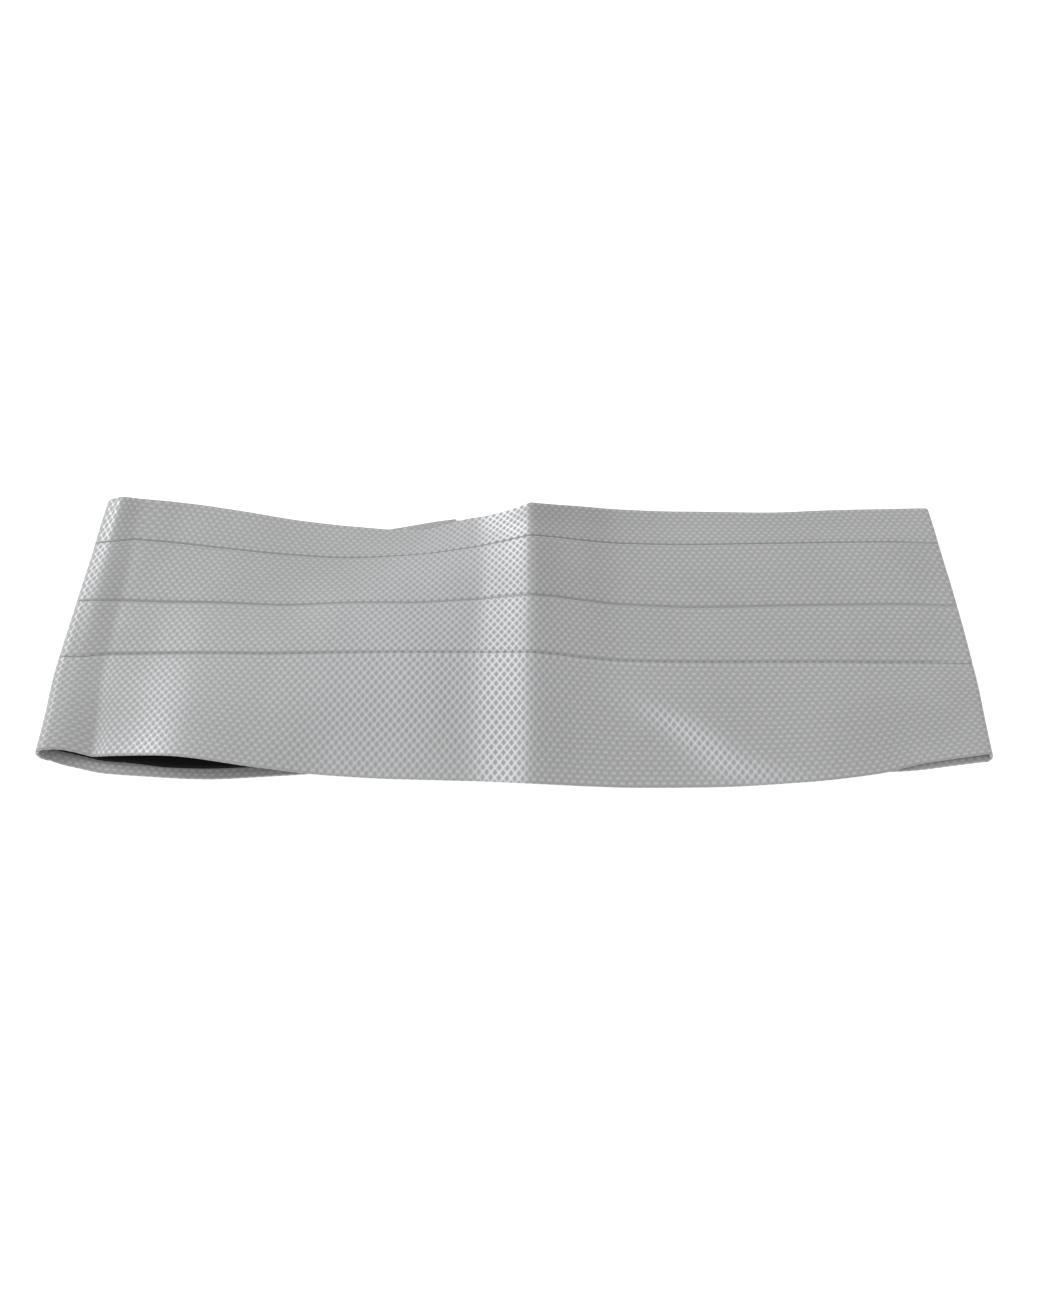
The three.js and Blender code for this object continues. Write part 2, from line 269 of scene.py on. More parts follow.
@dataclass(frozen=True)
class LoopForm:
    """The flattened loop: the inner face of its cloth, in millimetres."""

    folded_width: float = 410.0
    folded_depth: float = 140.0
    inner_half_width: float = 203.4
    back_height: float = 1.0
    front_height: float = 4.6
    crease_rise: float = 20.0
    wing_rise: float = 3.9
    left_end: float = -30.75
    right_end: float = -55.75
    climb_start: float = -6.75
    climb_end: float = -29.55
    overlap_inset: float = 3.2
    crease_lean: float = 3.7
    lean_fade: float = 1.5

    def front_lines(self, at: Array) -> Array:
        """Depths of the five lines at places across the front, from the lowest hem point."""
        return table_at(FRONT_PLAN, at, CREASES) * self.folded_depth

    def back_lines(self, side: Side, x: Array) -> Array:
        """Depths of the five lines on the back layer.

        The edges follow the back layer's own table, and the pleat lines run straight on from
        the fold.

        Args:
            side: the fold that the back layer comes from.
            x: places along the width, shape (n,).

        Returns:
            Shape (n, 5).
        """
        lines = self.front_lines(self.fold_place(side, len(x)))
        edges = table_at(BACK_PLAN, x / self.folded_width + 0.5) * self.folded_depth
        tucked = smooth((self.climb_start - x) / (self.climb_start - self.climb_end))
        inset = self.overlap_inset * tucked if side is Side.RIGHT else np.zeros(len(x))
        lines[:, 0], lines[:, 4] = edges[:, 0] + inset, edges[:, 1] - inset
        return lines

    def fold_place(self, side: Side, count: int) -> Array:
        """A fold's place across the width, 0 or 1, for a number of stations."""
        return np.full(count, 0.0 if side is Side.LEFT else 1.0)

    def fold_lines(self, side: Side, angle: Array) -> Array:
        """Depths of the five lines round a fold, from the front's by a smoothstep to the back's.

        Args:
            side: the fold.
            angle: 0 at its top and pi at its underside, shape (n,).

        Returns:
            Shape (n, 5).
        """
        middle = np.full((1, 1), self.folded_depth / 2.0)
        start = side.value * (self.inner_half_width - self.fold_radius(side, middle))
        turned = smooth(angle / math.pi)[:, None]
        front = self.front_lines(self.fold_place(side, 1))
        return front * (1.0 - turned) + self.back_lines(side, start[0]) * turned

    def front_surface(self, at: Array, depth: Array) -> Array:
        """Height of the front layer's inner face.

        At each place across the width it is the smooth curve through the lifts of the five
        lines, over the depth.

        Args:
            at: places across the width, shape (n,).
            depth: depths at those places, shape (n, m).

        Returns:
            Heights, shape (n, m).
        """
        lift = table_at(FRONT_LIFT, at, CREASES) * self.crease_rise
        height = self.front_height + hermite(self.front_lines(at), lift, depth, np.zeros(5, bool))
        return height + self.patches_at(SWELLS, at, depth)

    def patches_at(self, table: Array, at: Array, depth: Array) -> Array:
        """Soft patches of a table whose middles are shares of the width and depth."""
        scaled = table * np.array([self.folded_width, self.folded_depth, 1.0, 1.0, 1.0, 1.0])
        return patches(scaled, at[:, None] * self.folded_width, depth)

    def half_width(self, side: Side, depth: Array) -> Array:
        """How far a side fold's inner face reaches, at each depth."""
        reach = table_at(FOLD_REACH, (depth / self.folded_depth).ravel())[:, (side.value + 1) // 2]
        return self.inner_half_width + reach.reshape(depth.shape)

    def fold_radius(self, side: Side, depth: Array) -> Array:
        """Radius of a fold's inner face: half the height between the layers at that fold."""
        return (self.front_surface(self.fold_place(side, len(depth)), depth) - self.back_height) / 2.0

    def front_point(self, at: Array, depth: Array) -> Array:
        """Inner face of the front.

        x runs evenly from fold to fold. The left crease leans: near it x moves by the lean, times
        one less twice the share of the depth, times a smoothstep that rises from the fold to the
        crease and dies away past it.

        Args:
            at: places across the width, shape (n,).
            depth: depths at those places, shape (n, m).

        Returns:
            Points, shape (n, m, 3).
        """
        left = self.fold_radius(Side.LEFT, depth) - self.half_width(Side.LEFT, depth)
        right = self.half_width(Side.RIGHT, depth) - self.fold_radius(Side.RIGHT, depth)
        past = at / CREASES[0] - 1.0
        held = smooth(1.0 + np.where(past < 0.0, past, -self.lean_fade * past))[:, None]
        lean = self.crease_lean * held * (1.0 - 2.0 * depth / self.folded_depth)
        x = left + (right - left) * at[:, None] + lean
        return np.stack([x, depth, self.front_surface(at, depth)], axis=-1)

    def fold_point(self, side: Side, angle: Array, depth: Array) -> Array:
        """Inner face of a side fold: a half circle from its top, angle 0, to its underside.

        Args:
            side: the fold.
            angle: shape (n,).
            depth: shape (n, m).

        Returns:
            Points, shape (n, m, 3).
        """
        radius = self.fold_radius(side, depth)
        reach = self.half_width(side, depth) - radius + radius * np.sin(angle)[:, None]
        height = self.back_height + radius * (1.0 + np.cos(angle)[:, None])
        return np.stack([side.value * reach, depth, height], axis=-1)

    def wing_point(self, side: Side, way: Array, depth: Array) -> Array:
        """Inner face of a wing, from the fold at way 0 to the wing's end at way 1.

        x runs evenly along the way. The right wing climbs onto the left one by a smoothstep.

        Args:
            side: the wing's fold.
            way: shape (n,).
            depth: shape (n, m).

        Returns:
            Points, shape (n, m, 3).
        """
        start = side.value * (self.half_width(side, depth) - self.fold_radius(side, depth))
        end = self.left_end if side is Side.LEFT else self.right_end
        x = start + (end - start) * way[:, None]
        climbed = smooth((self.climb_start - x) / (self.climb_start - self.climb_end))
        rise = climbed * self.wing_rise if side is Side.RIGHT else np.zeros_like(x)
        return np.stack([x, depth, self.back_height + rise], axis=-1)


@dataclass(frozen=True)
class Loop:
    """Stations round the loop, from the left wing's end to the right wing's end."""

    form: LoopForm = field(default_factory=LoopForm)
    left_steps: int = 26
    fold_steps: int = 16
    front_steps: tuple[int, int, int] = (12, 86, 86)
    right_steps: int = 50
    wing_lengths: Pair = (168.0, 256.0)
    left_spacing: Spacing = ((0.0, 0.4, 1.0), (0.0, 0.2, 1.0))
    right_spacing: Spacing = ((0.0, 0.24, 0.46, 1.0), (0.0, 0.15, 0.78, 1.0))
    unfold_start: float = 8.0
    unfold_length: float = 26.0
    press_length: float = 22.0
    pressed: float = 0.95
    trim: float = 0.0

    def wing_way(self, steps: int, spacing: Spacing, length: float) -> Array:
        """Ways of a wing's stations: even steps, spread by the spacing and cut short by the trim."""
        return np.interp(np.linspace(0.0, 1.0, steps), *spacing)[1:] * (1.0 - self.trim / length)

    def places(self) -> dict[Stretch, Array]:
        """The parameter of every station.

        Returns:
            For each stretch its stations' ways, angles or places across the width.
        """
        bounds = (0.0, *CREASES, 1.0)
        parts = [np.linspace(low, high, count, endpoint=False)
                 for low, high, count in zip(bounds, bounds[1:], self.front_steps)]
        angles = np.linspace(0.0, math.pi, self.fold_steps + 1)
        left_length, right_length = self.wing_lengths
        return {
            Stretch.LEFT_WING: self.wing_way(self.left_steps, self.left_spacing, left_length)[::-1],
            Stretch.LEFT_FOLD: angles[:0:-1],
            Stretch.FRONT: np.concatenate([*parts, [1.0]]),
            Stretch.RIGHT_FOLD: angles[1:],
            Stretch.RIGHT_WING: self.wing_way(self.right_steps, self.right_spacing, right_length),
        }

    def wing_middles(self, side: Side, way: Array) -> Array:
        """Place along the width of each wing station, at half the folded depth."""
        depth = np.full((len(way), 1), self.form.folded_depth / 2.0)
        return self.form.wing_point(side, way, depth)[:, 0, 0]

    def lines(self) -> Array:
        """Depths of the five lines at every station.

        Returns:
            Shape (stations, 5).
        """
        places = self.places()
        left = self.wing_middles(Side.LEFT, places[Stretch.LEFT_WING])
        right = self.wing_middles(Side.RIGHT, places[Stretch.RIGHT_WING])
        return np.concatenate([
            self.form.back_lines(Side.LEFT, left),
            self.form.fold_lines(Side.LEFT, places[Stretch.LEFT_FOLD]),
            self.form.front_lines(places[Stretch.FRONT]),
            self.form.fold_lines(Side.RIGHT, places[Stretch.RIGHT_FOLD]),
            self.form.back_lines(Side.RIGHT, right),
        ])

    def shares(self) -> tuple[Array, Array, Array]:
        """Three shares of every station.

        Returns:
            How far it is turned to the underside, how far its pleats have been let out, and its
            place across the front, which is held at 0 and 1 past the folds.
        """
        places = self.places()
        under, plain, at = [], [], []
        for stretch, values in places.items():
            if stretch in (Stretch.LEFT_FOLD, Stretch.RIGHT_FOLD):
                under.append(self.pressed + (1.0 - self.pressed) * smooth(values * 2.0 / math.pi))
                plain.append(np.zeros(len(values)))
            elif stretch is Stretch.FRONT:
                apart = np.minimum(values, 1.0 - values) * self.form.folded_width
                under.append(self.pressed * smooth(1.0 - apart / self.press_length))
                plain.append(np.zeros(len(values)))
            else:
                side = Side.LEFT if stretch is Stretch.LEFT_WING else Side.RIGHT
                past = self.form.inner_half_width - side.value * self.wing_middles(side, values)
                under.append(np.ones(len(values)))
                plain.append(smooth((past - self.unfold_start) / self.unfold_length))
            ends = 0.0 if stretch in (Stretch.LEFT_WING, Stretch.LEFT_FOLD) else 1.0
            at.append(values if stretch is Stretch.FRONT else np.full(len(values), ends))
        return np.concatenate(under), np.concatenate(plain), np.concatenate(at)

    def inner_points(self, depth: Array) -> Array:
        """Points of the inner face at every station.

        Args:
            depth: shape (stations, m).

        Returns:
            Points, shape (stations, m, 3).
        """
        places = self.places()
        cuts = np.cumsum([len(values) for values in places.values()])[:-1]
        rows = np.split(depth, cuts)
        return np.concatenate([
            self.form.wing_point(Side.LEFT, places[Stretch.LEFT_WING], rows[0]),
            self.form.fold_point(Side.LEFT, places[Stretch.LEFT_FOLD], rows[1]),
            self.form.front_point(places[Stretch.FRONT], rows[2]),
            self.form.fold_point(Side.RIGHT, places[Stretch.RIGHT_FOLD], rows[3]),
            self.form.wing_point(Side.RIGHT, places[Stretch.RIGHT_WING], rows[4]),
        ])

    def surface(self, depth: Array, rise: Array) -> Array:
        """Points at a rise off the inner face.

        Each point is the inner face's point plus the rise along the face's normal, which is the
        cross product of its tangents along and across the loop.

        Args:
            depth: shape (stations, m).
            rise: shape (stations, m).

        Returns:
            Points centred over the origin, in millimetres, shape (stations, m, 3).
        """
        feet = self.inner_points(depth)
        along = np.gradient(feet, axis=0)
        across = self.inner_points(depth + 0.5) - self.inner_points(depth - 0.5)
        normal = np.cross(along, across)
        normal /= np.linalg.norm(normal, axis=-1, keepdims=True)
        points = feet + normal * rise[..., None]
        points[..., 1] -= self.form.folded_depth / 2.0
        return points


@dataclass(frozen=True)
class CutPath:
    """Nodes across the cut cloth, from the lower hem's raw edge to the upper hem's.

    A node lies at a share of the way between two lines, plus an offset in millimetres, at one
    rise on the front and another on the underside.
    """

    low: Array
    share: Array
    offset: Array
    front_rise: Array
    under_rise: Array

    @staticmethod
    def run(low: int, share: Array, offset: Array, front: Array, under: Array) -> "CutPath":
        """A stretch of nodes; single numbers are spread over its nodes."""
        parts = np.broadcast_arrays(np.asarray(share, float), offset, front, under)
        return CutPath(np.full(parts[0].shape, low), *(np.array(part, float) for part in parts))

    @staticmethod
    def join(runs: list["CutPath"]) -> "CutPath":
        """One path from stretches that share their end nodes.

        Args:
            runs: the stretches in order.

        Returns:
            The whole path.
        """
        names = ("low", "share", "offset", "front_rise", "under_rise")
        columns = [[getattr(run, name)[(1 if index else 0):] for index, run in enumerate(runs)]
                   for name in names]
        return CutPath(*(np.concatenate(column) for column in columns))

    def depths(self, lines: Array) -> Array:
        """Depth of every node: its share of the way between its two lines, plus its offset."""
        high = np.minimum(self.low + 1, 4)
        return lines[:, self.low] * (1 - self.share) + lines[:, high] * self.share + self.offset


class MeshPiece:
    """Puts a worked-out grid of points into a mesh."""

    @staticmethod
    def lengths(points: Array, axis: int) -> Array:
        """Length along one direction of a grid, from its first row, averaged over the other."""
        steps = np.linalg.norm(np.diff(points, axis=axis), axis=-1).mean(axis=1 - axis)
        return np.concatenate([[0.0], np.cumsum(steps)])

    @staticmethod
    def cut_size(name: str, points: Array) -> Pair:
        """The flat size that a sheet is cut to: its mean lengths across and along.

        Args:
            name: the piece's name, for the log.
            points: millimetres, shape (n, m, 3).

        Returns:
            Width and length in metres, to the millimetre.
        """
        width, length = (float(MeshPiece.lengths(points, axis)[-1]) for axis in (1, 0))
        log.info("%s: cut %.0f by %.0f mm", name, width, length)
        return round(width * MM, 3), round(length * MM, 3)

    @staticmethod
    def from_grid(name: str, points: Array, material: bpy.types.Material) -> bpy.types.Object:
        """A quad mesh over a grid, with a UV map in metres along and across the cloth.

        Args:
            name: the piece's name.
            points: millimetres, shape (n, m, 3).
            material: its finish.

        Returns:
            The object, at the origin.
        """
        rows, columns = points.shape[:2]
        index = np.arange(rows * columns).reshape(rows, columns)
        quads = np.stack([index[:-1, :-1], index[1:, :-1], index[1:, 1:], index[:-1, 1:]], axis=-1)
        quads = quads.reshape(-1, 4)
        mesh = bpy.data.meshes.new(name)
        mesh.vertices.add(rows * columns)
        mesh.vertices.foreach_set("co", (points * MM).astype(np.float32).ravel())
        mesh.loops.add(quads.size)
        mesh.loops.foreach_set("vertex_index", quads.ravel().astype(np.int32))
        mesh.polygons.add(len(quads))
        mesh.polygons.foreach_set("loop_start", np.arange(0, quads.size, 4, dtype=np.int32))
        mesh.update(calc_edges=True)
        along = MeshPiece.lengths(points, 0) * MM
        across = MeshPiece.lengths(points, 1) * MM
        flat = np.stack(np.broadcast_arrays(along[:, None], across[None, :]), axis=-1)
        layer = mesh.uv_layers.new(name="cloth")
        layer.data.foreach_set("uv", flat.reshape(-1, 2)[quads.ravel()].astype(np.float32).ravel())
        mesh.polygons.foreach_set("use_smooth", np.ones(len(quads), dtype=bool))
        mesh.materials.append(material)
        mesh.validate()
        piece = bpy.data.objects.new(name, mesh)
        bpy.context.scene.collection.objects.link(piece)
        return piece

    @staticmethod
    def shade(piece: bpy.types.Object, name: str, values: Array) -> None:
        """Store one number per grid point as a named attribute."""
        layer = piece.data.attributes.new(name, "FLOAT", "POINT")
        layer.data.foreach_set("value", values.astype(np.float32).ravel())

    @staticmethod
    def thicken(piece: bpy.types.Object, thickness: float) -> None:
        """Give a sheet its thickness, half to each side.

        Args:
            piece: the sheet.
            thickness: in millimetres.
        """
        wall = piece.modifiers.new("cloth thickness", "SOLIDIFY")
        wall.thickness = thickness * MM
        wall.offset = 0.0
        wall.use_rim = True


@dataclass(frozen=True)
class PleatedBand:
    """The silver cloth: one sheet, hemmed along both edges and laid in three pleats."""

    thickness: float = 0.3
    hem_width: float = 7.0
    pocket_depth: float = 10.0
    edge_radius: float = 0.45
    fold_radius: float = 0.32
    hem_rise: Pair = (-0.55, -0.3)
    edge_rise: Pair = (0.35, 0.85)
    root_rise: Pair = (0.5, 0.24)
    return_rise: Pair = (1.2, 0.55)
    top_rise: Pair = (2.0, 0.85)
    spring: Pair = (0.65, 0.0)
    spring_share: float = 0.075
    # Painted highlight: the slopes over which it comes in, its greatest strength, and how far from the
    # left fold it fades in, in millimetres.
    painted_highlight_slopes: Pair = (0.06, 0.42)
    painted_highlight_most: float = 0.48
    painted_highlight_start: float = 9.0
    least_step: float = 0.01
    arc_nodes: int = 6
    plain_nodes: int = 3
    band_nodes: tuple[int, int, int, int] = (26, 20, 22, 20)
    band_spacing: Spacing = ((0.0, 0.3, 1.0), (0.0, 0.08, 1.0))
    first_ramps: Pair = (0.74, 0.3)
    pleat_ramps: Pair = (0.62, 0.022)

    def arc(self, line: int, centre: float, radius: float, way: int, turn: int,
            ends: tuple[Pair, Pair]) -> CutPath:
        """A half circle of cloth between two rises.

        Args:
            line: the line that it belongs to.
            centre: offset of its centre from that line.
            radius: how far it reaches along the depth.
            way: 1 where it bulges to the upper hem, -1 to the lower hem.
            turn: 1 where it runs upwards, -1 downwards.
            ends: lower and upper rise, each on the front and on the underside.

        Returns:
            Its nodes.
        """
        angle = np.linspace(-math.pi / 2, math.pi / 2, self.arc_nodes)[::turn]
        rises = [(low + high) / 2 + (high - low) / 2 * np.sin(angle) for low, high in zip(*ends)]
        return CutPath.run(line, 0.0, centre + way * radius * np.cos(angle), *rises)

    def band(self, line: int, starts: Pair, ends: Pair, offsets: Pair, ramps: Pair) -> CutPath:
        """The showing cloth between two lines, which climbs onto the next pleat's layers.

        Its rise goes from the start to the end by a smoothstep over the first part of the way.
        Past a pleat it first springs up steeply out of the crevice behind the fold, and the
        spring dies away by the same smoothstep.

        Args:
            line: the line that it starts from.
            starts: rise at its start, on the front and on the underside.
            ends: rise at its end.
            offsets: offsets from the two lines.
            ramps: share of the way over which it climbs, on the front and on the underside.

        Returns:
            Its nodes.
        """
        even = np.linspace(0.0, 1.0, self.band_nodes[line])
        share = np.interp(even, *self.band_spacing)
        springs = self.spring if line > 0 else (0.0, 0.0)
        rises = [start + (end - start) * smooth(share / ramp)
                 + spring * (smooth(share / self.spring_share) - smooth(share / ramp))
                 for start, end, ramp, spring in zip(starts, ends, ramps, springs)]
        return CutPath.run(line, share, offsets[0] + (offsets[1] - offsets[0]) * share, *rises)

    def path(self) -> CutPath:
        """Path of the cloth across the band: hem, edge, four bands with three pleats, hem.

        Returns:
            The path.
        """
        edge_centre = self.edge_radius + self.thickness / 2
        fold_centre = self.fold_radius + self.thickness / 2
        hem = np.linspace(self.hem_width, edge_centre, self.plain_nodes)
        edge_ends = (self.hem_rise, self.edge_rise)
        pocket_ends = (self.root_rise, self.return_rise)
        fold_ends = (self.return_rise, self.top_rise)
        back = np.linspace(-fold_centre, -self.pocket_depth, self.plain_nodes)
        hidden = np.linspace(-self.pocket_depth, 0.0, self.plain_nodes)
        runs = [
            CutPath.run(0, 0.0, hem, *self.hem_rise),
            self.arc(0, edge_centre, self.edge_radius, -1, 1, edge_ends),
            self.band(0, self.edge_rise, self.top_rise, (edge_centre, -fold_centre), self.first_ramps),
        ]
        for line in (1, 2, 3):
            ends = self.top_rise if line < 3 else self.edge_rise
            reach = -fold_centre if line < 3 else -edge_centre
            runs += [
                self.arc(line, -fold_centre, self.fold_radius, 1, -1, fold_ends),
                CutPath.run(line, 0.0, back, *self.return_rise),
                self.arc(line, -self.pocket_depth, self.fold_radius, -1, -1, pocket_ends),
                CutPath.run(line, 0.0, hidden, *self.root_rise),
                self.band(line, self.root_rise, ends, (0.0, reach), self.pleat_ramps),
            ]
        runs += [
            self.arc(4, -edge_centre, self.edge_radius, 1, -1, edge_ends),
            CutPath.run(4, 0.0, -hem[::-1], *self.hem_rise),
        ]
        return CutPath.join(runs)

    def grid(self, loop: Loop) -> Array:
        """Points of the whole sheet.

        On the front the nodes follow the folded path. Past the side folds the pleats are let
        out: each node goes over to its own share of the flat width, by the length of cloth
        before it.

        Args:
            loop: the stations.

        Returns:
            Points, shape (stations, nodes, 3).
        """
        path = self.path()
        lines = loop.lines()
        under, plain, at = loop.shares()
        under, plain = under[:, None], plain[:, None]
        folded = path.depths(lines)
        rise = path.front_rise * (1 - under) + path.under_rise * under
        middle = (path.low + path.share > 0) & (path.low < 4)
        first, last = np.flatnonzero(middle)[[0, -1]]
        steps = np.hypot(np.diff(folded[len(folded) // 2]), np.diff(path.front_rise))
        length = np.concatenate([[0.0], np.cumsum(steps)])
        share = np.clip((length - length[first]) / (length[last] - length[first]), 0.0, 1.0)
        flat = folded[:, [first]] + (folded[:, [last]] - folded[:, [first]]) * share
        inside = (np.arange(len(share)) >= first) & (np.arange(len(share)) <= last)
        depth = np.where(inside, folded * (1 - plain) + flat * plain, folded)
        rise = np.where(inside, rise * (1 - plain) + self.edge_rise[1] * plain, rise)
        return loop.surface(depth, rise)

    def gloss_and_painted_highlight(self, loop: Loop, points: Array) -> Array:
        """How strongly a painted highlight, and more gloss, is put on the weave at each point.

        The highlight is painted where the front leans to the left, towards the light, by a smoothstep
        of its slope along the loop that fades out towards the left fold, and in the table's patches of
        painted highlight.

        Args:
            loop: the stations.
            points: the sheet's points.

        Returns:
            Strengths, shape (stations, nodes).
        """
        along = np.gradient(points, axis=0)
        slope = along[..., 2] / (np.abs(along[..., 0]) + self.least_step)
        low, high = self.painted_highlight_slopes
        # Painted light: the net is painted brighter where the front leans to the left, towards the
        # light.
        leaning = self.painted_highlight_most * smooth((slope - low) / (high - low))
        at = loop.shares()[2]
        leaning *= smooth(at * loop.form.folded_width / self.painted_highlight_start)[:, None]
        depth = points[..., 1] + loop.form.folded_depth / 2.0
        return leaning + loop.form.patches_at(PAINTED_HIGHLIGHTS, at, depth)

    def build(self, loop: Loop, finish: "SilverCloth") -> bpy.types.Object:
        """Args:
            loop: the stations.
            finish: its cloth.

        Returns:
            The piece.
        """
        points = self.grid(loop)
        piece = MeshPiece.from_grid("silver_pleats", points, finish.material())
        # The painted highlight's strength, which also raises the coat, is stored on the points.
        MeshPiece.shade(piece, "gloss_and_painted_highlight", self.gloss_and_painted_highlight(loop, points))
        MeshPiece.thicken(piece, self.thickness)
        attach(piece, "root")
        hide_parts("pleated_band")
        MeshPiece.cut_size("silver_pleats", points)
        return piece


@dataclass(frozen=True)
class InnerLining:
    """The dark lining, sewn down on the turned hems."""

    thickness: float = 0.2
    edge_inset: float = 4.1
    edge_wave: float = 0.25
    corner_inset: float = 1.3
    corner_reach: float = 38.0
    corner_fade: float = 14.0
    front_rise: float = -0.9
    under_rise: float = -0.68
    nodes: int = 48
    crowding: float = 0.1
    waves: tuple[tuple[float, float, float], ...] = ((1.0, 0.23, 0.0), (0.6, 0.61, 1.0))
    dip: float = 0.12
    dip_width: float = 0.4

    def grid(self, loop: Loop) -> Array:
        """Points of the lining.

        Nodes run evenly between its two edges, which wander by two sines along the loop. At the
        left fold the lower one keeps further off the hem, which a smoothstep of the distance past
        the fold ends. The outermost nodes dip onto the hem.

        Args:
            loop: the stations, cut short at the wings' ends.

        Returns:
            Points, shape (stations, nodes, 3).
        """
        lines = loop.lines()
        under = loop.shares()[0][:, None]
        share = smooth(np.linspace(self.crowding, 1.0 - self.crowding, self.nodes))
        share = (share - share[0]) / (share[-1] - share[0])
        run = np.arange(len(lines))
        sines = [size * np.sin(run * pace + start) for size, pace, start in self.waves]
        wave = self.edge_wave * sum(sines)
        places = loop.places()
        left = loop.wing_middles(Side.LEFT, places[Stretch.LEFT_WING])
        past = left + loop.form.inner_half_width - self.corner_reach
        corner = np.zeros(len(lines))
        corner[:len(left)] = self.corner_inset * smooth(1.0 - past / self.corner_fade)
        turn = places[Stretch.LEFT_FOLD]
        corner[len(left):len(left) + len(turn)] = self.corner_inset * smooth(turn / math.pi)
        low = lines[:, 0] + self.edge_inset + wave + corner
        high = lines[:, 4] - self.edge_inset + wave
        depth = low[:, None] + (high - low)[:, None] * share
        rise = self.front_rise * (1 - under) + self.under_rise * under
        for edge in (low, high):
            rise = rise + self.dip * bell((depth - edge[:, None]) / self.dip_width)
        return loop.surface(depth, rise)

    def build(self, loop: Loop, finish: "DarkSatin") -> bpy.types.Object:
        """Args:
            loop: the stations, cut short at the wings' ends.
            finish: its cloth.

        Returns:
            The piece.
        """
        points = self.grid(loop)
        piece = MeshPiece.from_grid("dark_lining", points, finish.material())
        MeshPiece.thicken(piece, self.thickness)
        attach(piece, "root")
        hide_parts("lining")
        MeshPiece.cut_size("dark_lining", points)
        return piece


class Board:
    """A node tree with short ways to add and link nodes."""

    def __init__(self, tree: bpy.types.NodeTree) -> None:
        """Keep the tree."""
        self.tree = tree

    def add(self, kind: str, **settings: object) -> bpy.types.Node:
        """Add a node of a kind and set its properties.

        Args:
            kind: the node's type.
            settings: its properties by name.

        Returns:
            The node.
        """
        node = self.tree.nodes.new(kind)
        for name, value in settings.items():
            setattr(node, name, value)
        return node

    def link(self, source: Socket, target: Socket) -> None:
        """Join two sockets."""
        self.tree.links.new(source, target)

    def feed(self, socket: Socket, value: object) -> None:
        """Link a socket, or set a plain value on it.

        Args:
            socket: the input.
            value: another socket or a value.
        """
        if isinstance(value, Socket):
            self.link(value, socket)
        else:
            socket.default_value = value

    def math(self, operation: str, *values: object) -> Socket:
        """One arithmetic step.

        Args:
            operation: its name.
            values: sockets or numbers.

        Returns:
            The result.
        """
        node = self.add("ShaderNodeMath", operation=operation)
        for socket, value in zip(node.inputs, values):
            self.feed(socket, value)
        return node.outputs[0]

    def remap(self, value: object, low: float, high: float, to_low: float = 0.0,
              to_high: float = 1.0) -> Socket:
        """A value taken from one range to another by a smoothstep.

        Args:
            value: socket or number.
            low: start of its range.
            high: end of its range.
            to_low: what the start becomes.
            to_high: what the end becomes.

        Returns:
            The result.
        """
        node = self.add("ShaderNodeMapRange", interpolation_type="SMOOTHSTEP")
        for socket, given in zip(node.inputs, (value, low, high, to_low, to_high)):
            self.feed(socket, given)
        return node.outputs[0]

    def blend(self, amount: object, first: object, second: object) -> Socket:
        """Mix two colours.

        Args:
            amount: share of the second one.
            first: socket or colour.
            second: socket or colour.

        Returns:
            The mixed colour.
        """
        node = self.add("ShaderNodeMix", data_type="RGBA")
        for name, given in (("Factor_Float", amount), ("A_Color", first), ("B_Color", second)):
            socket = next(item for item in node.inputs if item.identifier == name)
            self.feed(socket, given)
        return next(item for item in node.outputs if item.identifier == "Result_Color")

    def noise(self, vector: object, scale: float, detail: float = 2.0) -> bpy.types.Node:
        """Noise over a vector.

        Args:
            vector: the place's socket.
            scale: how fine it is.
            detail: how many octaves.

        Returns:
            The node.
        """
        node = self.add("ShaderNodeTexNoise", noise_dimensions="3D")
        self.link(vector, node.inputs["Vector"])
        node.inputs["Scale"].default_value = scale
        node.inputs["Detail"].default_value = detail
        return node

    def relief(self, sockets: bpy.types.NodeInputs, height: Socket, distance: float) -> None:
        """Bump a shader's surface.

        Args:
            sockets: the shader's inputs.
            height: the relief.
            distance: how deep it is, in metres.
        """
        bump = self.add("ShaderNodeBump")
        bump.inputs["Distance"].default_value = distance
        self.link(height, bump.inputs["Height"])
        self.link(bump.outputs[0], sockets["Normal"])


def new_finish(name: str) -> tuple[bpy.types.Material, Board, bpy.types.NodeInputs]:
    """A new material made of nodes.

    Args:
        name: its name.

    Returns:
        The material, a board on its nodes, and its shader's inputs.
    """
    material = bpy.data.materials.new(name)
    material.use_nodes = True
    return material, Board(material.node_tree), material.node_tree.nodes["Principled BSDF"].inputs


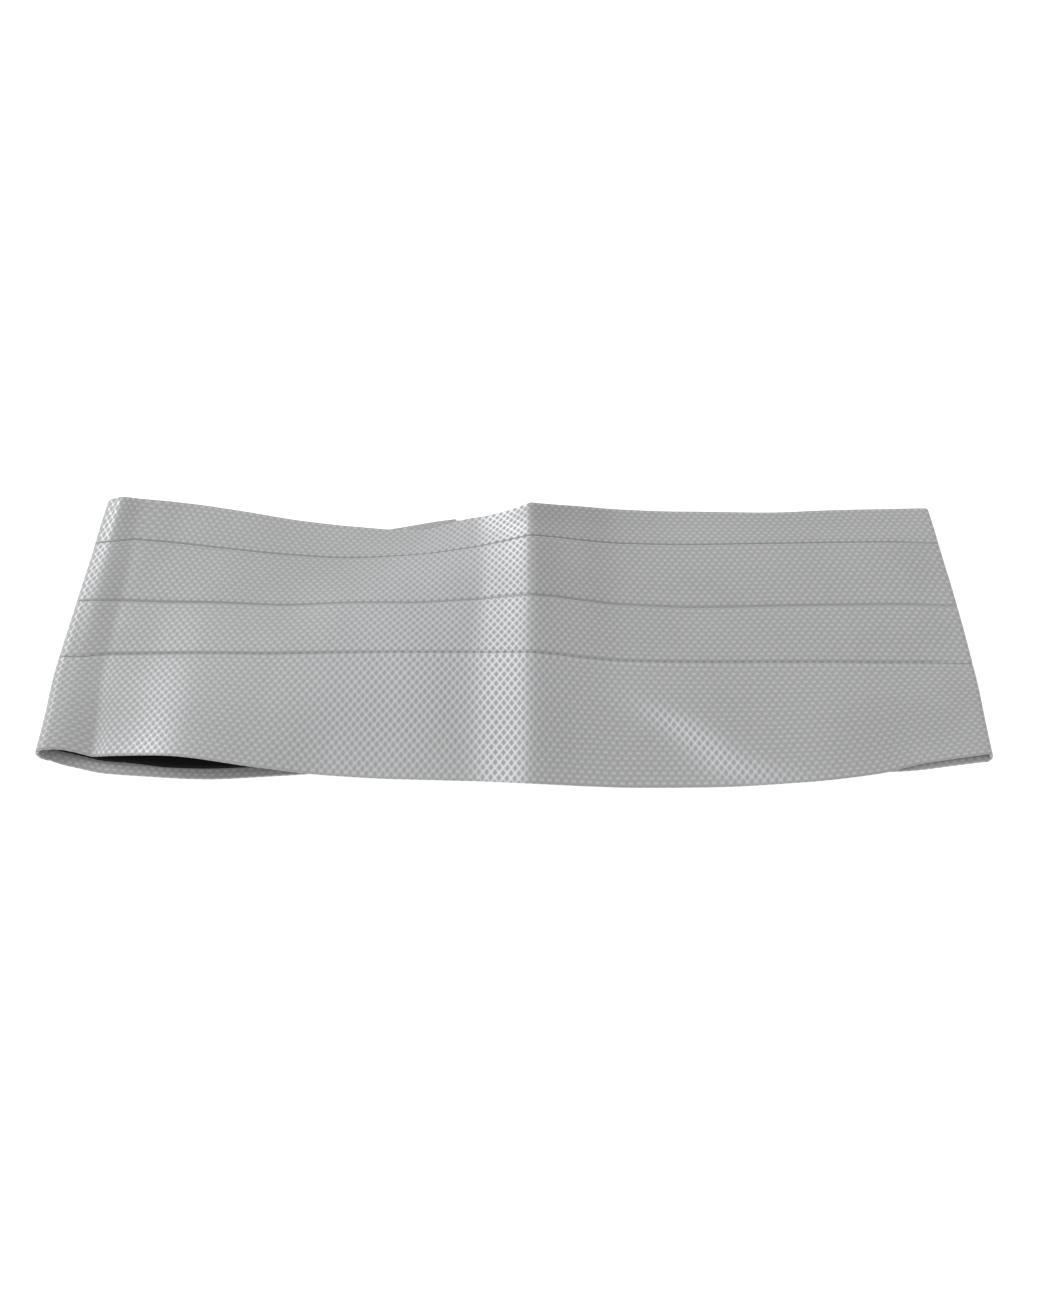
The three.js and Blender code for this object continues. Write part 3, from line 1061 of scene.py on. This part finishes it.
@dataclass
class GroupBook:
    """Node groups that the finishes share, each built once."""

    wander_scale: float = 95.0
    corner_span: Pair = (0.5, -1.6)
    dash_span: Pair = (-0.7, 0.4)
    fibre_scale: float = 1700.0
    height_shares: tuple[float, float, float] = (0.6, 0.4, 0.12)
    drift_scale: float = 24.0
    speck_share: float = 0.5
    slub_scale: float = 400.0
    cloud_scale: float = 45.0
    groups: dict[str, bpy.types.NodeTree] = field(default_factory=dict)

    def begin(self, name: str, inputs: dict[str, object], outputs: dict[str, str]) -> Board:
        """Make an empty group with its sockets.

        Args:
            name: the group's name.
            inputs: each input's default value, or None for a vector.
            outputs: each output's socket type.

        Returns:
            A board on the new group.
        """
        tree = bpy.data.node_groups.new(name, "ShaderNodeTree")
        for label, value in inputs.items():
            kind = "NodeSocketVector" if value is None else "NodeSocketFloat"
            socket = tree.interface.new_socket(name=label, in_out="INPUT", socket_type=kind)
            if value is not None:
                socket.default_value = value
        for label, kind in outputs.items():
            tree.interface.new_socket(name=label, in_out="OUTPUT", socket_type=kind)
        self.groups[name] = tree
        return Board(tree)

    def weave(self) -> bpy.types.NodeTree:
        """The diamond weave: a net of bright floats round small rounded cells.

        With x and y the turns along and across the cloth, each diagonal of the net is the cube of
        half of one less the cosine of x + y or of x - y, with one diagonal the weaker. The net is
        the greater of the two and of a smoothstep that rounds the cells' corners. The dashes lie
        in rows where the cosine of y is plus or minus one, narrowed by its fourth power; along a
        row they lie on the crossings of the net, where the sum of the two cosines is low.

        Returns:
            The group, with outputs for the net, the dashes, the height and a tone.
        """
        if "diamond weave" in self.groups:
            return self.groups["diamond weave"]
        board = self.begin(
            "diamond weave",
            {"Cloth": None, "Pitch": 0.0035, "Slant": 0.14, "Wander": 0.0005},
            {"Net": "NodeSocketFloat", "Dash": "NodeSocketFloat", "Height": "NodeSocketFloat",
             "Tone": "NodeSocketFloat"},
        )
        given = board.add("NodeGroupInput").outputs
        wander = board.noise(given["Cloth"], self.wander_scale, 1.0)
        centred = board.add("ShaderNodeVectorMath", operation="SUBTRACT")
        board.link(wander.outputs["Color"], centred.inputs[0])
        centred.inputs[1].default_value = (0.5, 0.5, 0.5)
        sized = board.add("ShaderNodeVectorMath", operation="SCALE")
        board.link(centred.outputs[0], sized.inputs[0])
        board.link(given["Wander"], sized.inputs["Scale"])
        moved = board.add("ShaderNodeVectorMath", operation="ADD")
        board.link(given["Cloth"], moved.inputs[0])
        board.link(sized.outputs[0], moved.inputs[1])
        parts = board.add("ShaderNodeSeparateXYZ")
        board.link(moved.outputs[0], parts.inputs[0])
        turns = board.math("DIVIDE", 2.0 * math.pi, given["Pitch"])
        x = board.math("MULTIPLY", parts.outputs[0], turns)
        y = board.math("MULTIPLY", parts.outputs[1], turns)
        down = board.math("COSINE", board.math("ADD", x, y))
        up = board.math("COSINE", board.math("SUBTRACT", x, y))
        cells = board.math("ADD", down, up)
        down = board.math("POWER", board.math("MULTIPLY_ADD", down, -0.5, 0.5), 3.0)
        up = board.math("POWER", board.math("MULTIPLY_ADD", up, -0.5, 0.5), 3.0)
        down = board.math("MULTIPLY", down, board.math("SUBTRACT", 1.0, given["Slant"]))
        net = board.math("MAXIMUM", down, up)
        net = board.math("MAXIMUM", net, board.remap(cells, *self.corner_span))
        crossing = board.math("MULTIPLY", cells, -0.5)
        narrow = board.math("POWER", board.math("ABSOLUTE", board.math("COSINE", y)), 4.0)
        dash = board.math("MULTIPLY", board.remap(crossing, *self.dash_span), narrow)
        fibre = board.noise(given["Cloth"], self.fibre_scale)
        shares = zip((net, dash, fibre.outputs[0]), self.height_shares)
        net_height, dash_height, fibre_height = (board.math("MULTIPLY", *pair) for pair in shares)
        height = board.math("ADD", board.math("ADD", net_height, dash_height), fibre_height)
        drift = board.noise(given["Cloth"], self.drift_scale, 3.0)
        speck = board.math("SUBTRACT", fibre.outputs[0], 0.5)
        speck = board.math("MULTIPLY", speck, self.speck_share)
        tone = board.math("ADD", board.remap(drift.outputs[0], 0.25, 0.75, -0.5, 0.5), speck)
        out = board.add("NodeGroupOutput")
        for name, value in (("Net", net), ("Dash", dash), ("Height", height), ("Tone", tone)):
            board.link(value, out.inputs[name])
        return board.tree

    def threads(self) -> bpy.types.NodeTree:
        """Fine plain threads: the product of two sines across and along, with slubs of noise.

        Returns:
            The group, with outputs for the height and a slowly changing tone.
        """
        if "fine threads" in self.groups:
            return self.groups["fine threads"]
        board = self.begin(
            "fine threads",
            {"Cloth": None, "Pitch": 0.0006},
            {"Height": "NodeSocketFloat", "Tone": "NodeSocketFloat"},
        )
        given = board.add("NodeGroupInput").outputs
        parts = board.add("ShaderNodeSeparateXYZ")
        board.link(given["Cloth"], parts.inputs[0])
        turns = board.math("DIVIDE", 2.0 * math.pi, given["Pitch"])
        warp = board.math("SINE", board.math("MULTIPLY", parts.outputs[0], turns))
        weft = board.math("SINE", board.math("MULTIPLY", parts.outputs[1], turns))
        slub = board.noise(given["Cloth"], self.slub_scale, 3.0)
        height = board.math("ADD", board.math("MULTIPLY", warp, weft), slub.outputs[0])
        drift = board.noise(given["Cloth"], self.cloud_scale, 3.0)
        out = board.add("NodeGroupOutput")
        board.link(height, out.inputs["Height"])
        board.link(board.remap(drift.outputs[0], 0.3, 0.7), out.inputs["Tone"])
        return board.tree


@dataclass(frozen=True)
class SilverCloth:
    """The silver-grey woven cloth."""

    groups: GroupBook
    cell: Colour = (0.312, 0.311, 0.31, 1.0)
    dash: Colour = (0.44, 0.439, 0.438, 1.0)
    # Painted highlight colour, blended into the net where the stored strength is high.
    painted_highlight_colour: Colour = (0.63, 0.64, 0.665, 1.0)
    net_cover: float = 0.15
    dash_cover: float = 0.95
    dash_fade: float = 0.6
    tone_swing: float = 0.05
    roughness: Pair = (0.56, 0.34)
    coat: float = 0.5
    coat_roughness: float = 0.4
    relief: float = 0.00007
    sheen: float = 0.1
    sheen_roughness: float = 0.45

    def material(self) -> bpy.types.Material:
        """Cloth whose net of floats is brighter and glossier than its cells, with a painted highlight:
        where the stored strength is high, the net is painted towards a pale highlight colour, its
        dashes fade and its coat is raised.

        Returns:
            The material.
        """
        material, board, sockets = new_finish("silver cloth")
        place = board.add("ShaderNodeUVMap", uv_map="cloth")
        weave = board.add("ShaderNodeGroup", node_tree=self.groups.weave())
        board.link(place.outputs[0], weave.inputs["Cloth"])
        net, dash = weave.outputs["Net"], weave.outputs["Dash"]
        # Painted highlight: the stored strength blends the net towards the highlight colour and thins
        # the dashes; it also raises the coat.
        gloss_and_painted_highlight = board.add("ShaderNodeAttribute", attribute_type="GEOMETRY", attribute_name="gloss_and_painted_highlight")
        gloss_and_painted_highlight = board.remap(gloss_and_painted_highlight.outputs["Fac"], 0.0, 1.0)
        net_gloss_and_painted_highlight = board.math("MULTIPLY", gloss_and_painted_highlight, net)
        rows = board.math("SUBTRACT", self.dash_cover, board.math("MULTIPLY", gloss_and_painted_highlight, self.dash_fade))
        mask = board.math("ADD", board.math("MULTIPLY", net, self.net_cover),
                          board.math("MULTIPLY", dash, rows))
        colour = board.blend(net_gloss_and_painted_highlight, board.blend(mask, self.cell, self.dash), self.painted_highlight_colour)
        toned = board.add("ShaderNodeHueSaturation")
        board.link(colour, toned.inputs["Color"])
        swing = board.math("MULTIPLY", weave.outputs["Tone"], self.tone_swing)
        board.link(board.math("ADD", swing, 1.0), toned.inputs["Value"])
        board.link(toned.outputs[0], sockets["Base Color"])
        board.link(board.remap(net, 0.0, 1.0, *self.roughness), sockets["Roughness"])
        coat = board.math("MULTIPLY_ADD", net_gloss_and_painted_highlight, self.coat, board.math("MULTIPLY", net, self.coat))
        board.link(coat, sockets["Coat Weight"])
        sockets["Coat Roughness"].default_value = self.coat_roughness
        board.relief(sockets, weave.outputs["Height"], self.relief)
        sockets["Sheen Weight"].default_value = self.sheen
        sockets["Sheen Roughness"].default_value = self.sheen_roughness
        return material


@dataclass(frozen=True)
class DarkSatin:
    """The near-black lining."""

    groups: GroupBook
    deep: Colour = (0.003, 0.003, 0.0035, 1.0)
    worn: Colour = (0.006, 0.006, 0.007, 1.0)
    roughness: Pair = (0.5, 0.62)
    relief: float = 0.00004
    reflection: float = 0.2

    def material(self) -> bpy.types.Material:
        """Smooth dark cloth with fine threads.

        Returns:
            The material.
        """
        material, board, sockets = new_finish("dark satin")
        place = board.add("ShaderNodeUVMap", uv_map="cloth")
        threads = board.add("ShaderNodeGroup", node_tree=self.groups.threads())
        board.link(place.outputs[0], threads.inputs["Cloth"])
        tone = threads.outputs["Tone"]
        board.link(board.blend(tone, self.deep, self.worn), sockets["Base Color"])
        board.link(board.remap(tone, 0.0, 1.0, *self.roughness), sockets["Roughness"])
        sockets["Specular IOR Level"].default_value = self.reflection
        board.relief(sockets, threads.outputs["Height"], self.relief)
        return material


@dataclass(frozen=True)
class BrushedMetal:
    """Plain metal, brushed along the plate."""

    base: Colour = (0.62, 0.62, 0.61, 1.0)
    dull: Colour = (0.5, 0.5, 0.49, 1.0)
    stretch: tuple[float, float, float] = (1.0, 0.04, 1.0)
    grain_scale: float = 3000.0
    smudge_scale: float = 90.0
    roughness: Pair = (0.24, 0.42)
    relief: float = 0.00001

    def material(self) -> bpy.types.Material:
        """Metal with fine scratches that run along the plate.

        Returns:
            The material.
        """
        material, board, sockets = new_finish("brushed metal")
        place = board.add("ShaderNodeTexCoord")
        stretch = board.add("ShaderNodeMapping")
        board.link(place.outputs["Object"], stretch.inputs["Vector"])
        stretch.inputs["Scale"].default_value = self.stretch
        grain = board.noise(stretch.outputs[0], self.grain_scale, 3.0).outputs[0]
        smudge = board.noise(place.outputs["Object"], self.smudge_scale, 3.0).outputs[0]
        board.link(board.blend(smudge, self.base, self.dull), sockets["Base Color"])
        board.link(board.remap(grain, 0.3, 0.7, *self.roughness), sockets["Roughness"])
        board.relief(sockets, grain, self.relief)
        sockets["Metallic"].default_value = 1.0
        return material


@dataclass(frozen=True)
class HookPlate:
    """The flat hook plate between the two ends, kept from the CAD."""

    node: str = "clasp"

    def dress(self, finish: BrushedMetal) -> bpy.types.Object:
        """Give the plate its metal.

        Args:
            finish: the metal.

        Returns:
            The plate.
        """
        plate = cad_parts[self.node]
        plate.data.materials.clear()
        plate.data.materials.append(finish.material())
        log.info("%s: dressed", self.node)
        return plate


@dataclass(frozen=True)
class Studio:
    """The floor, the light and the camera."""

    floor_size: float = 6.0
    floor_drop: float = 0.0003
    world_strength: float = 0.755
    key_way: tuple[float, float, float] = (-0.75, 0.45, 0.48)
    key_strength: float = 1.35
    fill_way: tuple[float, float, float] = (-0.55, 0.36, 0.75)
    fill_strength: float = 0.48
    sun_angle: float = 16.0
    sun_colour: tuple[float, float, float] = (0.945, 0.975, 1.0)
    floor_glow: float = 0.8
    floor_tones: tuple[Colour, Colour] = ((0.5, 0.5, 0.5, 1.0), (0.53, 0.53, 0.53, 1.0))
    camera_place: tuple[float, float, float] = (0.0084, -0.1946, 0.4216)
    camera_pitch: float = 33.2
    lens: float = 27.55
    shift: Pair = (-0.0115, -0.123)

    def floor(self) -> bpy.types.Object:
        """A plain pale floor under the band.

        Returns:
            The floor.
        """
        half = self.floor_size / 2
        corners = [(x, y, -self.floor_drop)
                   for x, y in ((-half, -half), (half, -half), (half, half), (-half, half))]
        mesh = bpy.data.meshes.new("floor")
        mesh.from_pydata(corners, [], [(0, 1, 2, 3)])
        material, board, sockets = new_finish("pale floor")
        place = board.add("ShaderNodeTexCoord")
        mottle = board.noise(place.outputs["Object"], 14.0, 3.0)
        board.link(board.blend(mottle.outputs[0], *self.floor_tones), sockets["Base Color"])
        sockets["Roughness"].default_value = 0.9
        sockets["Specular IOR Level"].default_value = 0.1
        sockets["Emission Color"].default_value = (1.0, 1.0, 1.0, 1.0)
        sockets["Emission Strength"].default_value = self.floor_glow
        mesh.materials.append(material)
        floor = bpy.data.objects.new("floor", mesh)
        bpy.context.scene.collection.objects.link(floor)
        return floor

    def sun(self, name: str, way: tuple[float, float, float], strength: float) -> bpy.types.Object:
        """A broad soft sun.

        Args:
            name: its name.
            way: the direction that it stands in.
            strength: its strength.

        Returns:
            The light.
        """
        data = bpy.data.lights.new(name, "SUN")
        data.energy, data.angle, data.color = strength, math.radians(self.sun_angle), self.sun_colour
        light = bpy.data.objects.new(name, data)
        light.rotation_euler = (-Vector(way)).to_track_quat("-Z", "Y").to_euler()
        bpy.context.scene.collection.objects.link(light)
        return light

    def lights(self) -> None:
        """Soft light from the left and behind, low and higher, in an even pale room."""
        world = bpy.data.worlds.new("studio")
        world.use_nodes = True
        background = world.node_tree.nodes["Background"]
        background.inputs[0].default_value = (1.0, 1.0, 1.0, 1.0)
        background.inputs[1].default_value = self.world_strength
        bpy.context.scene.world = world
        self.sun("key", self.key_way, self.key_strength)
        self.sun("fill", self.fill_way, self.fill_strength)

    def camera(self) -> bpy.types.Object:
        """The camera, at the height and slope that the band's outline gives.

        Returns:
            The camera.
        """
        data = bpy.data.cameras.new("camera")
        data.lens = self.lens
        data.shift_x, data.shift_y = self.shift
        data.clip_start = 0.01
        camera = bpy.data.objects.new("camera", data)
        camera.location = self.camera_place
        camera.rotation_euler = (math.radians(self.camera_pitch), 0.0, 0.0)
        bpy.context.scene.collection.objects.link(camera)
        bpy.context.scene.camera = camera
        return camera

    def build(self) -> None:
        """Set up the floor, the light, the camera and plain colours."""
        self.camera()
        self.floor()
        self.lights()
        bpy.context.scene.view_settings.view_transform = "Standard"


def main() -> None:
    """Build the band, its lining and plate, and the studio."""
    Studio().build()
    groups = GroupBook()
    PleatedBand().build(Loop(), SilverCloth(groups))
    InnerLining().build(Loop(trim=7.0), DarkSatin(groups))
    HookPlate().dress(BrushedMetal())


if __name__ == "__main__":
    main()
